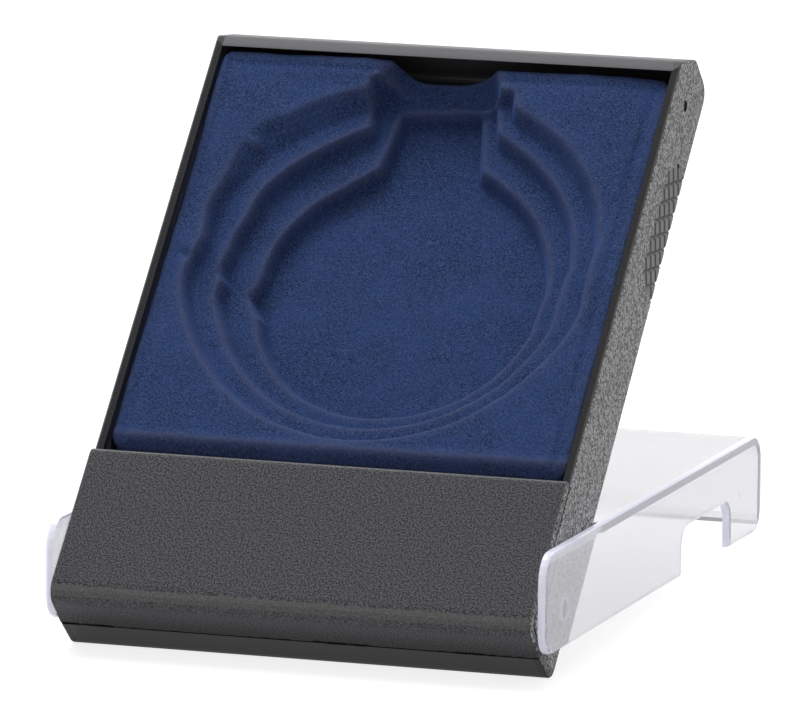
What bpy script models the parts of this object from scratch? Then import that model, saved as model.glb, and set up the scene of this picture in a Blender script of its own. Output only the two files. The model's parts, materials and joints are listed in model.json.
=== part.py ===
"""Medal case: a leaning plastic case with a stepped flocked insert, and a clear lid that folds behind it.

The case is drawn in its own frame: +X right, +Y up along its open face and +Z out of that face, with the
zero point at the middle of the round recess, in the plane of the rim. The lid is drawn about its hinge axis,
with +Y along its length and +Z out of its panel. The last section works out how far the lid folds and how
the two stand on a table.
"""

import math

import bmesh
import bpy
from mathutils import Matrix, Vector

MM = 0.001

# Case shell
CASE_WIDTH = 83.6 * MM
RIM_TOP = 45.1 * MM            # upper edge of the rim, above the middle of the recess
CASE_TOP = 50.3 * MM           # the end of the case overhangs its rim
CASE_BOTTOM = 72.0 * MM        # below the middle of the recess
CASE_DEPTH = 15.6 * MM         # rim to back
SLANT_DEPTH = 6.6 * MM         # where the slanted end meets the square one
LOW_END_DRAFT = 0.8 * MM       # how far the lower end wall leans in at the back
SHELL_WALL = 1.7 * MM
BACK_WALL = 2.1 * MM
SIDE_WALL = 1.5 * MM
DIVIDER_WALL = 1.5 * MM        # between the insert's pocket and the hinge bay
BACK_RADIUS = 3.0 * MM
TIP_RADIUS = 1.4 * MM
RIM_RADIUS = 0.9 * MM
SHELL_EDGE_RADIUS = 0.4 * MM

# Grip on the shell's side walls, from the middle of the recess up and from the rim back
GRIP_LOW = 5.8 * MM
GRIP_LOW_CORNER = 7.3 * MM
GRIP_HIGH_CORNER = 27.2 * MM
GRIP_HIGH = 31.5 * MM
GRIP_FRONT = 7.0 * MM
GRIP_LOW_CUT = 1.3 * MM        # its lower front corner is cut off this far back
GRIP_HIGH_CUT = 4.5 * MM       # and its upper one this far
GRIP_PITCH = 3.6 * MM          # height of one diamond
GRIP_DIAMOND_LENGTH = 4.0 * MM
GRIP_GROOVE_WIDTH = 0.9 * MM
GRIP_GROOVE_DEPTH = 0.4 * MM

# Front plate
PLATE_THICKNESS = 1.8 * MM
PLATE_TOP = 43.0 * MM          # its upper edge, below the middle of the recess
PLATE_WRAP = 6.9 * MM          # how far behind the rim it reaches round the lower end
PLATE_BEND_RADIUS = 3.0 * MM
PLATE_TOP_RADIUS = 0.6 * MM
PLATE_EDGE_RADIUS = 0.3 * MM
LIP_THICKNESS = 1.2 * MM
LIP_HEIGHT = 3.0 * MM
LIP_MARGIN = 4.0 * MM          # from each end of the hinge bay

# Insert
MEDAL_RADII = (35.0 * MM, 30.0 * MM, 25.0 * MM)
FOIL_THICKNESS = 0.8 * MM
FACE_DEPTH = 1.4 * MM          # its face, behind the rim
WALL_DRAFT = 1.6 * MM          # how far each wall leans in from its upper edge
INSERT_CORNER_RADIUS = 3.0 * MM
EDGE_ROLL = 0.6 * MM           # radius of its upper and side edges
LOW_EDGE_ROLL = 4.0 * MM       # radius of its lower edge, beside the plate
NECK_TOP = 37.9 * MM           # upper end of the deepest neck, above the middle of the recess
NECK_TOP_STEP = 0.6 * MM       # each edge above it ends this much higher
TROUGH_DEPTH = 5.3 * MM        # finger trough at the neck's mouth, below the insert's face
TROUGH_LEFT = 9.6 * MM         # its width on each side, at the insert's upper edge
TROUGH_RIGHT = 9.1 * MM
LOOP_STEP = 0.05 * MM          # least distance from each edge to the next one in

# Clear lid
LID_WALL = 1.4 * MM
HINGE_LOW = 60.6 * MM          # the hinge axis, below the middle of the recess
HINGE_DEPTH = 9.0 * MM         # the hinge axis, behind the rim
LID_FREE_EDGE = 6.2 * MM       # from the hinge axis to the free edge of each side wall
ARM_REACH = 12.0 * MM          # from the hinge axis to the end of each arm
ARM_RADIUS = 4.5 * MM
LID_END_RADIUS = 4.5 * MM
LID_FOOT_RADIUS = 4.0 * MM
LID_EDGE_RADIUS = 0.6 * MM
PIN_RADIUS = 2.0 * MM
PIN_INSIDE = 0.7 * MM          # how far a pin stands inside the case's wall
PIN_CHAMFER = 0.5 * MM
NOTCH_LOW = -4.6 * MM          # finger notch in each side wall of the shut lid, from the recess's middle
NOTCH_LENGTH = 28.8 * MM
NOTCH_HEIGHT = 8.2 * MM
NOTCH_RADIUS = 3.6 * MM
DETENT_TOP = 40.7 * MM         # above the middle of the recess
DETENT_DEPTH = 6.9 * MM
DETENT_HOLE_RADIUS = 1.0 * MM
DETENT_HOLE_DEPTH = 0.5 * MM
NUB_RADIUS = 0.8 * MM
NUB_HEIGHT = 0.3 * MM
NUB_CHAMFER = 0.12 * MM

# Clearances
FIT_GAP = 0.3 * MM             # between pieces that rest on each other
FLOOR_GAP = 0.29 * MM          # between the insert's floor and the shell's back
SIDE_GAP = 0.4 * MM            # between the case's side and the lid's
PIN_GAP = 0.25 * MM            # round each hinge pin
END_GAP = 0.9 * MM             # between the shut lid's end and the case's
SWING_GAP = 0.9 * MM           # between the turning panel's edge and the plate's upper corner
OVERRUN = 4.0 * MM             # how far a cutter passes what it cuts
BITE = 0.5 * MM                # how far joined shapes sink into each other
WELD = 0.001 * MM
FLAT_ANGLE = math.radians(0.5)  # faces this close to one plane become one face

# Facets
ARC_STEPS = 5
EDGE_STEPS = 2
PIN_FACETS = 32
NUB_FACETS = 16
RING_STEP_DEGREES = 3
CORNER_STEP_DEGREES = 2

# Plan of the three rings, from the widest in. Directions run anticlockwise from +X. Each edge lies at its
# medal radius times the share given there, and its wall leans in by the draft times its own share. The rings
# are round below the middle, have a small step at each end of it, and open out towards the neck.
RING_DEGREES = (0, 8, 20, 45, 68, 90, 108, 122, 137, 150, 163, 173, 184, 197, 212, 350, 360)
RING_EDGE_SHARES = (
    (0.99, 1.00, 1.03, 1.06, 1.10, 1.14, 1.15, 1.13, 1.16, 1.11, 1.05, 1.00, 1.04, 1.03, 1.01, 1.01, 0.99),
    (0.98, 0.99, 1.03, 1.06, 1.10, 1.12, 1.11, 1.09, 1.08, 1.07, 1.05, 1.03, 1.03, 1.03, 1.01, 1.00, 0.98),
    (1.00, 1.02, 1.02, 1.04, 1.08, 1.08, 1.06, 1.02, 1.01, 1.00, 1.00, 0.99, 1.03, 0.99, 1.02, 1.02, 1.00),
)
RING_DRAFT_SHARES = (
    (0.7, 0.8, 1.2, 1.5, 1.5, 1.9, 2.2, 2.1, 2.6, 1.6, 0.9, 0.7, 0.8, 0.8, 1.0, 1.0, 0.7),
    (0.6, 0.7, 0.8, 0.8, 1.0, 0.6, 0.4, 0.3, 0.3, 0.3, 0.3, 0.5, 0.6, 0.8, 0.9, 0.9, 0.6),
    (0.6, 0.7, 0.7, 0.8, 0.7, 0.6, 0.3, 0.3, 0.3, 0.3, 0.3, 0.3, 0.5, 0.5, 0.8, 0.8, 0.6),
)
# The neck's left and right edges at its upper end, from the insert's face down: each ring's edge, then its
# foot. Each flare share is how much that side widens per length down the neck.
NECK_LEFTS = (9.8 * MM, 9.5 * MM, 9.2 * MM, 8.9 * MM, 8.3 * MM, 7.6 * MM)
NECK_RIGHTS = (11.7 * MM, 10.9 * MM, 9.3 * MM, 8.8 * MM, 6.4 * MM, 6.0 * MM)
LEFT_FLARE_SHARES = (0.33, 0.33, 0.30, 0.30, 0.04, 0.17)
RIGHT_FLARE_SHARES = (0.40, 0.40, 0.20, 0.20, 0.17, 0.18)
TROUGH_FLARE_SHARE = 0.35
TROUGH_POWER = 3                # how square its cross-section is

# Sizes that follow from those above
HALF_WIDTH = CASE_WIDTH / 2
INNER_HALF_WIDTH = HALF_WIDTH - SIDE_WALL
INNER_DEPTH = CASE_DEPTH - BACK_WALL
SLANT_RUN = (CASE_TOP - RIM_TOP) / SLANT_DEPTH
POCKET_TOP = RIM_TOP - SHELL_WALL * math.hypot(1, SLANT_RUN)
BAY_TOP = PLATE_TOP + DIVIDER_WALL
PLATE_INNER_BOTTOM = CASE_BOTTOM - PLATE_THICKNESS
SHELL_STEP_BOTTOM = PLATE_INNER_BOTTOM - FIT_GAP
SHELL_STEP_DEPTH = PLATE_WRAP + FIT_GAP
INSERT_HALF_WIDTH = INNER_HALF_WIDTH - FIT_GAP
INSERT_TOP = POCKET_TOP - FIT_GAP
INSERT_BOTTOM = PLATE_TOP - FIT_GAP
INSERT_FOOT_DEPTH = INNER_DEPTH - FIT_GAP
STEP_DEPTH = (INNER_DEPTH - FLOOR_GAP - FOIL_THICKNESS - FACE_DEPTH) / len(MEDAL_RADII)
TROUGH_FOOT = NECK_TOP + NECK_TOP_STEP
LID_HALF_WIDTH = HALF_WIDTH + SIDE_GAP + LID_WALL
LID_PANEL = PLATE_THICKNESS - FIT_GAP
LID_TOP = HINGE_DEPTH + PLATE_THICKNESS
BACK_REACH = CASE_DEPTH - HINGE_DEPTH
LID_INNER_END = HINGE_LOW + CASE_TOP + END_GAP
LID_END = LID_INNER_END + LID_WALL
NOTCH_START = HINGE_LOW - NOTCH_LOW
DETENT_REACH = HINGE_LOW + DETENT_TOP


def panel_start():
    """Where the lid's panel begins, so that its near edge swings clear of the plate's upper corner."""
    corner_y = HINGE_LOW - PLATE_TOP - PLATE_TOP_RADIUS
    corner_z = LID_TOP - PLATE_TOP_RADIUS
    swing = math.hypot(corner_y, corner_z) + PLATE_TOP_RADIUS + SWING_GAP
    return math.sqrt(swing**2 - (LID_TOP - LID_PANEL) ** 2)


def new_material(name, colour, roughness, transmission=0.0):
    material = bpy.data.materials.new(name)
    material.use_nodes = True
    shader = material.node_tree.nodes["Principled BSDF"]
    shader.inputs["Base Color"].default_value = (*colour, 1.0)
    shader.inputs["Roughness"].default_value = roughness
    shader.inputs["Transmission Weight"].default_value = transmission
    return material


def new_object(name, mesh, collection, material=None):
    obj = bpy.data.objects.new(name, mesh)
    collection.objects.link(obj)
    if material:
        mesh.materials.append(material)
    if collection is cutters:
        obj.hide_render = True
        obj.display_type = "WIRE"
    return obj


def rounded_outline(corners):
    """A closed outline from (y, z, radius) corners, each rounded by an arc that touches both its sides."""
    points = []
    for i, (y, z, radius) in enumerate(corners):
        corner = Vector((y, z))
        back = (Vector(corners[i - 1][:2]) - corner).normalized()
        ahead = (Vector(corners[(i + 1) % len(corners)][:2]) - corner).normalized()
        half_angle = back.angle(ahead) / 2
        centre = corner + (back + ahead).normalized() * radius / math.sin(half_angle)
        touch = corner + back * radius / math.tan(half_angle) - centre
        sweep = touch.angle_signed(corner + ahead * radius / math.tan(half_angle) - centre, 0)
        for k in range(ARC_STEPS + 1 if radius else 1):
            point = centre + Matrix.Rotation(-sweep * k / ARC_STEPS, 2) @ touch
            if not points or (point - points[-1]).length > WELD:
                points.append(point)
    return points


def prism(name, outline, half_width, collection, material=None):
    """A solid with this outline in the YZ plane, reaching half_width to each side of it."""
    curve = bpy.data.curves.new(name, "CURVE")
    curve.dimensions = "2D"
    curve.fill_mode = "BOTH"
    curve.extrude = half_width
    spline = curve.splines.new("POLY")
    spline.points.add(len(outline) - 1)
    for point, (y, z) in zip(spline.points, outline):
        point.co = (y, z, 0, 1)
    spline.use_cyclic_u = True
    flat = bpy.data.objects.new(name, curve)
    collection.objects.link(flat)
    graph = bpy.context.evaluated_depsgraph_get()
    mesh = bpy.data.meshes.new_from_object(flat.evaluated_get(graph))
    bpy.data.objects.remove(flat)
    bpy.data.curves.remove(curve)
    mesh.name = name
    mesh.transform(Matrix(((0, 0, 1, 0), (1, 0, 0, 0), (0, 1, 0, 0), (0, 0, 0, 1))))
    shape = bmesh.new()
    shape.from_mesh(mesh)
    bmesh.ops.remove_doubles(shape, verts=shape.verts, dist=WELD)
    bmesh.ops.recalc_face_normals(shape, faces=shape.faces)
    bmesh.ops.dissolve_limit(shape, angle_limit=FLAT_ANGLE, verts=shape.verts, edges=shape.edges)
    weights = shape.edges.layers.float.new("bevel_weight_edge")
    for edge in shape.edges:
        edge[weights] = float(abs(sum(point.co.x for point in edge.verts)) > half_width)
    shape.to_mesh(mesh)
    shape.free()
    return new_object(name, mesh, collection, material)


def round_sides(obj, radius):
    """Rounds the edges where a prism's outline meets its two flat sides."""
    bevel = obj.modifiers.new("rounded_sides", "BEVEL")
    bevel.width = radius
    bevel.segments = EDGE_STEPS
    bevel.limit_method = "WEIGHT"
    bevel.use_clamp_overlap = False


def cross_cylinder(name, radius, x_from, x_to, y, z, facets, chamfer=0.0):
    """A cylinder along X, with its edges chamfered where a chamfer is given."""
    shape = bmesh.new()
    place = Matrix.Translation(((x_from + x_to) / 2, y, z)) @ Matrix.Rotation(math.pi / 2, 4, "Y")
    bmesh.ops.create_cone(
        shape, cap_ends=True, segments=facets, radius1=radius, radius2=radius, depth=abs(x_to - x_from),
        matrix=place,
    )
    mesh = bpy.data.meshes.new(name)
    shape.to_mesh(mesh)
    shape.free()
    obj = new_object(name, mesh, cutters)
    if chamfer:
        bevel = obj.modifiers.new("chamfer", "BEVEL")
        bevel.width = chamfer
        bevel.segments = 1
        bevel.limit_method = "ANGLE"
    return obj


def block(name, x_from, x_to, y_from, y_to, z_from, z_to):
    shape = bmesh.new()
    bmesh.ops.create_cube(shape, size=1)
    size = Vector((abs(x_to - x_from), abs(y_to - y_from), abs(z_to - z_from)))
    middle = Vector((x_to + x_from, y_to + y_from, z_to + z_from)) / 2
    shape.transform(Matrix.Translation(middle) @ Matrix.Diagonal((*size, 1)))
    mesh = bpy.data.meshes.new(name)
    shape.to_mesh(mesh)
    shape.free()
    return new_object(name, mesh, cutters)


def combine(obj, operation, others):
    """Cuts the others from the object, or joins them to it. They ride on it wherever it is placed."""
    for other in others:
        other.parent = obj
        boolean = obj.modifiers.new(other.name, "BOOLEAN")
        boolean.operation = operation
        boolean.solver = "EXACT"
        boolean.object = other


def both_sides(maker, name, x_from, x_to, *rest):
    """The same shape on the right and, mirrored, on the left."""
    return [maker(name + "_right", x_from, x_to, *rest), maker(name + "_left", -x_from, -x_to, *rest)]


def case_outline():
    """The shell's side view. Its rim steps back under the plate, which lies over it."""
    return rounded_outline((
        (RIM_TOP, 0, RIM_RADIUS),
        (FIT_GAP - PLATE_TOP, 0, 0),
        (FIT_GAP - PLATE_TOP, -FIT_GAP, 0),
        (-SHELL_STEP_BOTTOM, -FIT_GAP, PLATE_BEND_RADIUS - PLATE_THICKNESS - FIT_GAP),
        (-SHELL_STEP_BOTTOM, -SHELL_STEP_DEPTH, 0),
        (-CASE_BOTTOM, -SHELL_STEP_DEPTH, 0),
        (LOW_END_DRAFT - CASE_BOTTOM, -CASE_DEPTH, BACK_RADIUS),
        (CASE_TOP, -CASE_DEPTH, BACK_RADIUS),
        (CASE_TOP, -SLANT_DEPTH, TIP_RADIUS),
    ))


def pocket_outline():
    end = CASE_TOP - SHELL_WALL
    return rounded_outline((
        (POCKET_TOP - OVERRUN * SLANT_RUN, OVERRUN, 0),
        (-PLATE_TOP, OVERRUN, 0),
        (-PLATE_TOP, -INNER_DEPTH, 0),
        (end, -INNER_DEPTH, BACK_RADIUS - SHELL_WALL),
        (end, (POCKET_TOP - end) / SLANT_RUN, TIP_RADIUS),
    ))


def bay_outline():
    """The hinge bay, behind the plate, whose floor follows the step that the plate wraps."""
    step_wall_depth = SHELL_STEP_DEPTH + SHELL_WALL
    return rounded_outline((
        (-BAY_TOP, OVERRUN, 0),
        (SHELL_WALL - SHELL_STEP_BOTTOM, OVERRUN, 0),
        (SHELL_WALL - SHELL_STEP_BOTTOM, -step_wall_depth, 0),
        (SHELL_WALL - CASE_BOTTOM, -step_wall_depth, 0),
        (SHELL_WALL + LOW_END_DRAFT - CASE_BOTTOM, -INNER_DEPTH, BACK_RADIUS - SHELL_WALL),
        (-BAY_TOP, -INNER_DEPTH, 0),
    ))


def grip_field():
    """Corners (y, z) of the grip, in order round it. It runs out at the case's back."""
    return (
        (GRIP_LOW_CORNER, -GRIP_FRONT),
        (GRIP_LOW, -GRIP_FRONT - GRIP_LOW_CUT),
        (GRIP_LOW, -CASE_DEPTH - OVERRUN),
        (GRIP_HIGH, -CASE_DEPTH - OVERRUN),
        (GRIP_HIGH, -GRIP_FRONT - GRIP_HIGH_CUT),
        (GRIP_HIGH_CORNER, -GRIP_FRONT),
    )


def within_grip(start, along):
    """The two ends of the line's stretch inside the grip, or None."""
    corners = [Vector(corner) for corner in grip_field()]
    enter, leave = -math.inf, math.inf
    for a, b in zip(corners, corners[1:] + corners[:1]):
        inward = Vector((a.y - b.y, b.x - a.x))
        distance, speed = (start - a).dot(inward), along.dot(inward)
        if speed > 0:
            enter = max(enter, -distance / speed)
        elif speed < 0:
            leave = min(leave, -distance / speed)
    if leave - enter < GRIP_GROOVE_WIDTH:
        return None
    return start + along * enter, start + along * leave


def grip_cutter(name, side, slope):
    """V grooves that run one way across the grip, on one side of the case."""
    shape = bmesh.new()
    along = Vector((slope * GRIP_PITCH, GRIP_DIAMOND_LENGTH)).normalized()
    across = Vector((along.y, -along.x))
    outer_x = HALF_WIDTH + GRIP_GROOVE_DEPTH
    tip_x = HALF_WIDTH - GRIP_GROOVE_DEPTH
    count = math.ceil((GRIP_HIGH - GRIP_LOW + CASE_DEPTH) / GRIP_PITCH)
    for i in range(-count, count + 1):
        stretch = within_grip(Vector((GRIP_LOW + GRIP_PITCH * i, -GRIP_FRONT)), along)
        if not stretch:
            continue
        ends = []
        for point in stretch:
            left, right = point - across * GRIP_GROOVE_WIDTH, point + across * GRIP_GROOVE_WIDTH
            ends.append([
                shape.verts.new((side * outer_x, left.x, left.y)),
                shape.verts.new((side * outer_x, right.x, right.y)),
                shape.verts.new((side * tip_x, point.x, point.y)),
            ])
        first, last = ends
        shape.faces.new(first)
        shape.faces.new(reversed(last))
        for j in range(3):
            k = (j + 1) % 3
            shape.faces.new((first[k], first[j], last[j], last[k]))
    bmesh.ops.recalc_face_normals(shape, faces=shape.faces)
    mesh = bpy.data.meshes.new(name)
    shape.to_mesh(mesh)
    shape.free()
    return new_object(name, mesh, cutters)


def make_shell():
    shell = prism("rear_shell", case_outline(), HALF_WIDTH, parts, black_plastic)
    round_sides(shell, SHELL_EDGE_RADIUS)
    pocket = prism("pocket_cutter", pocket_outline(), INNER_HALF_WIDTH, cutters)
    bay = prism("bay_cutter", bay_outline(), INNER_HALF_WIDTH, cutters)
    pin_bore = cross_cylinder(
        "pin_bore_cutter", PIN_RADIUS + PIN_GAP, -HALF_WIDTH - OVERRUN, HALF_WIDTH + OVERRUN,
        -HINGE_LOW, -HINGE_DEPTH, PIN_FACETS,
    )
    detents = [
        cross_cylinder(
            "detent_cutter_" + side, DETENT_HOLE_RADIUS, sign * (HALF_WIDTH - DETENT_HOLE_DEPTH),
            sign * (HALF_WIDTH + OVERRUN), DETENT_TOP, -DETENT_DEPTH, NUB_FACETS,
        )
        for side, sign in (("right", 1), ("left", -1))
    ]
    grips = [
        grip_cutter(f"grip_cutter_{side}_{way}", sign, slope)
        for side, sign in (("right", 1), ("left", -1))
        for way, slope in (("rising", -1), ("falling", 1))
    ]
    combine(shell, "DIFFERENCE", [pocket, bay, pin_bore, *detents, *grips])
    return shell


def plate_outline():
    return rounded_outline((
        (-PLATE_TOP, 0, 0),
        (-PLATE_TOP, PLATE_THICKNESS, PLATE_TOP_RADIUS),
        (-CASE_BOTTOM, PLATE_THICKNESS, PLATE_BEND_RADIUS),
        (-CASE_BOTTOM, -PLATE_WRAP, 0),
        (-PLATE_INNER_BOTTOM, -PLATE_WRAP, 0),
        (-PLATE_INNER_BOTTOM, 0, PLATE_BEND_RADIUS - PLATE_THICKNESS),
    ))


def make_plate():
    plate = prism("front_plate", plate_outline(), HALF_WIDTH, parts, black_plastic)
    round_sides(plate, PLATE_EDGE_RADIUS)
    lip_outside = INNER_HALF_WIDTH - FIT_GAP
    lips = both_sides(
        block, "lip", lip_outside - LIP_THICKNESS, lip_outside,
        -BAY_TOP - LIP_MARGIN, LIP_MARGIN - SHELL_STEP_BOTTOM, BITE, -LIP_HEIGHT,
    )
    combine(plate, "UNION", lips)
    return plate


def sheet_reach(angle, margin, low_margin):
    """How far the insert's outer edge, drawn in by the margins, lies from the recess's middle."""
    along = Vector((math.cos(angle), math.sin(angle)))
    side = INSERT_HALF_WIDTH - margin
    end = INSERT_TOP - margin if along.y > 0 else INSERT_BOTTOM - low_margin
    reach = min(side / max(abs(along.x), WELD), end / max(abs(along.y), WELD))
    radius = INSERT_CORNER_RADIUS - margin
    centre = Vector((math.copysign(side - radius, along.x), math.copysign(end - radius, along.y)))
    point = along * reach
    if abs(point.x) > abs(centre.x) and abs(point.y) > abs(centre.y):
        middle = along.dot(centre)
        reach = middle + math.sqrt(middle**2 - centre.length_squared + radius**2)
    return reach


def eased_share(shares, angle):
    """The share in this direction, eased between the two listed directions beside it."""
    degrees = math.degrees(angle)
    after = next(i for i, limit in enumerate(RING_DEGREES) if i and degrees <= limit)
    part = (degrees - RING_DEGREES[after - 1]) / (RING_DEGREES[after] - RING_DEGREES[after - 1])
    return shares[after - 1] + (shares[after] - shares[after - 1]) * (1 - math.cos(math.pi * part)) / 2


def ring_reach(angle, k):
    """How far the recess's edge k, counted from the face down, lies from the middle, with its neck."""
    ring = k // 2
    reach = MEDAL_RADII[ring] * eased_share(RING_EDGE_SHARES[ring], angle)
    if k % 2:
        reach -= WALL_DRAFT * eased_share(RING_DRAFT_SHARES[ring], angle)
    rise = math.sin(angle)
    if rise > 0:
        top = neck_top(k)
        half_width, flare = NECK_LEFTS[k], LEFT_FLARE_SHARES[k]
        if math.cos(angle) > 0:
            half_width, flare = NECK_RIGHTS[k], RIGHT_FLARE_SHARES[k]
        side = (half_width + flare * top) / (abs(math.cos(angle)) + flare * rise)
        reach = max(reach, min(side, top / rise))
    return reach


def neck_top(k):
    """Upper end of the neck at edge k. The second to last edge is the deepest ring's."""
    return NECK_TOP + NECK_TOP_STEP * (len(NECK_LEFTS) - 2 - k)


def insert_levels():
    """The insert's edges from its foot inwards: how far each lies in a direction, and how deep it is."""
    part_in = 1 - math.sqrt(0.5)
    sheet = (
        (0, 0, INSERT_FOOT_DEPTH),
        (0, 0, FACE_DEPTH + EDGE_ROLL),
        (EDGE_ROLL * part_in, EDGE_ROLL * part_in, FACE_DEPTH + EDGE_ROLL * part_in),
        (EDGE_ROLL, EDGE_ROLL, FACE_DEPTH),
        (EDGE_ROLL * 2, LOW_EDGE_ROLL / 2, FACE_DEPTH),
        (EDGE_ROLL * 3, LOW_EDGE_ROLL, FACE_DEPTH),
    )
    levels = [(lambda a, m=(side, low): sheet_reach(a, *m), depth) for side, low, depth in sheet]
    for k in range(len(NECK_LEFTS)):
        levels.append((lambda a, k=k: ring_reach(a, k), FACE_DEPTH + STEP_DEPTH * ((k + 1) // 2)))
    return levels


def insert_directions():
    """Directions in which the insert's edges are drawn: even ones, and more at its corners."""
    degrees = set(range(0, 360, RING_STEP_DEGREES))
    for end in (INSERT_TOP, -INSERT_BOTTOM):
        for side in (INSERT_HALF_WIDTH, -INSERT_HALF_WIDTH):
            corner = round(math.degrees(math.atan2(end, side))) % 360
            degrees.update(corner + CORNER_STEP_DEGREES * i for i in range(-2, 3))
    for k in (0, 2, 4):
        for side in (NECK_RIGHTS[k], -NECK_LEFTS[k]):
            corner = round(math.degrees(math.atan2(neck_top(k), side)))
            degrees.update((corner - 1, corner, corner + 1))
    return [math.radians(d) for d in sorted(degrees)]


def rolled_drop(y):
    """How far the insert's face has dropped towards its lower edge."""
    over = min(max(LOW_EDGE_ROLL - (y + INSERT_BOTTOM), 0), LOW_EDGE_ROLL)
    return LOW_EDGE_ROLL - math.sqrt(LOW_EDGE_ROLL**2 - over**2)


def trough_drop(x, y):
    """How far the finger trough lies below the face. It runs down to the second ring's foot and widens."""
    if y < TROUGH_FOOT:
        return 0
    half_width = (TROUGH_RIGHT if x > 0 else TROUGH_LEFT) + TROUGH_FLARE_SHARE * (INSERT_TOP - y)
    down = (INSERT_TOP - y) / (INSERT_TOP - TROUGH_FOOT)
    middle = TROUGH_DEPTH + (2 * STEP_DEPTH - TROUGH_DEPTH) * down
    return middle * max(0, 1 - (abs(x) / half_width) ** TROUGH_POWER)


def make_insert():
    """The formed foil: rings of points joined by faces, because no two of its edges have the same plan."""
    shape = bmesh.new()
    directions = insert_directions()
    reaches = [math.inf] * len(directions)
    loops = []
    for reach, depth in insert_levels():
        if len(loops) > 1:
            reaches = [value - LOOP_STEP for value in reaches]
        reaches = [min(reach(angle), value) for angle, value in zip(directions, reaches)]
        loop = []
        for angle, value in zip(directions, reaches):
            x, y = value * math.cos(angle), value * math.sin(angle)
            low = depth
            if loops:
                low = max(depth + rolled_drop(y), FACE_DEPTH + trough_drop(x, y))
            loop.append(shape.verts.new((x, y, -low)))
        loops.append(loop)
    count = len(directions)
    for outer, inner in zip(loops, loops[1:]):
        for i in range(count):
            j = (i + 1) % count
            shape.faces.new((outer[i], outer[j], inner[j], inner[i]))
    shape.faces.new(loops[-1])
    mesh = bpy.data.meshes.new("insert_tray")
    shape.to_mesh(mesh)
    shape.free()
    insert = new_object("insert_tray", mesh, parts, navy_flock)
    foil = insert.modifiers.new("foil", "SOLIDIFY")
    foil.thickness = FOIL_THICKNESS
    foil.offset = -1
    return insert


def lid_outline():
    end = NOTCH_START + NOTCH_LENGTH
    notch_top = NOTCH_HEIGHT - LID_FREE_EDGE
    return rounded_outline((
        (-ARM_REACH, -LID_FREE_EDGE, ARM_RADIUS),
        (NOTCH_START, -LID_FREE_EDGE, 0),
        (NOTCH_START, notch_top, NOTCH_RADIUS),
        (end, notch_top, NOTCH_RADIUS),
        (end, -LID_FREE_EDGE, 0),
        (LID_END, -LID_FREE_EDGE, LID_FOOT_RADIUS),
        (LID_END, LID_TOP, LID_END_RADIUS),
        (-ARM_REACH, LID_TOP, ARM_RADIUS),
    ))


def make_lid():
    inner_half = LID_HALF_WIDTH - LID_WALL
    lid = prism("clear_lid", lid_outline(), LID_HALF_WIDTH, parts, clear_plastic)
    round_sides(lid, LID_EDGE_RADIUS)
    ceiling = LID_TOP - LID_PANEL
    start = panel_start()
    hollow = prism("lid_hollow_cutter", rounded_outline((
        (LID_INNER_END, ceiling, LID_END_RADIUS - LID_WALL),
        (LID_INNER_END, -LID_FREE_EDGE - OVERRUN, 0),
        (-ARM_REACH - OVERRUN, -LID_FREE_EDGE - OVERRUN, 0),
        (-ARM_REACH - OVERRUN, LID_TOP + OVERRUN, 0),
        (start + LID_PANEL, LID_TOP + OVERRUN, 0),
        (start + LID_PANEL, LID_TOP, 0),
        (start, LID_TOP, LID_PANEL),
        (start, ceiling, 0),
    )), inner_half, cutters)
    combine(lid, "DIFFERENCE", [hollow])
    pins = [
        cross_cylinder(
            "pin_" + side, PIN_RADIUS, sign * (INNER_HALF_WIDTH - PIN_INSIDE), sign * (inner_half + BITE),
            0, 0, PIN_FACETS, PIN_CHAMFER,
        )
        for side, sign in (("right", 1), ("left", -1))
    ]
    nubs = [
        cross_cylinder(
            "nub_" + side, NUB_RADIUS, sign * (inner_half - NUB_HEIGHT), sign * (inner_half + BITE),
            DETENT_REACH, HINGE_DEPTH - DETENT_DEPTH, NUB_FACETS, NUB_CHAMFER,
        )
        for side, sign in (("right", 1), ("left", -1))
    ]
    combine(lid, "UNION", [*pins, *nubs])
    return lid


def fold_angle():
    """How far the lid is folded from shut, when its panel's near edge lies against the case's back."""
    reach = panel_start() + LID_PANEL
    height = LID_TOP - LID_PANEL
    back = BACK_REACH + FIT_GAP + LID_PANEL
    return math.asin(back / math.hypot(reach, height)) + math.atan2(height, reach)


def in_case_frame(point, fold):
    """A point of the lid, folded by this angle, in the case's frame."""
    y, z = point
    return (
        -HINGE_LOW + y * math.cos(fold) + z * math.sin(fold),
        -HINGE_DEPTH - y * math.sin(fold) + z * math.cos(fold),
    )


def leaned(points, lean):
    """Points of the case's frame as (back, up) on the table, with the case's face at this angle above it."""
    cos, sin = math.cos(lean), math.sin(lean)
    return [(y * cos - z * sin, y * sin + z * cos) for y, z in points]


def resting_lean(case_points, lid_points):
    """The lean at which the case's lower end and the lid's feet touch the same table."""
    low, high = 0.0, math.pi / 2
    while high - low > WELD:
        lean = (low + high) / 2
        case_foot = min(up for _, up in leaned(case_points, lean))
        lid_foot = min(up for _, up in leaned(lid_points, lean))
        if lid_foot > case_foot:
            high = lean
        else:
            low = lean
    return (low + high) / 2


for old in list(bpy.data.objects):
    bpy.data.objects.remove(old)

parts = bpy.data.collections.new("medal_case")
cutters = bpy.data.collections.new("cutters")
bpy.context.scene.collection.children.link(parts)
bpy.context.scene.collection.children.link(cutters)

black_plastic = new_material("black_plastic", (0.012, 0.012, 0.013), 0.55)
navy_flock = new_material("navy_flock", (0.012, 0.035, 0.13), 1.0)
clear_plastic = new_material("clear_plastic", (0.9, 0.9, 0.93), 0.08, transmission=1.0)

shell = make_shell()
plate = make_plate()
insert = make_insert()
lid = make_lid()

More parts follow.
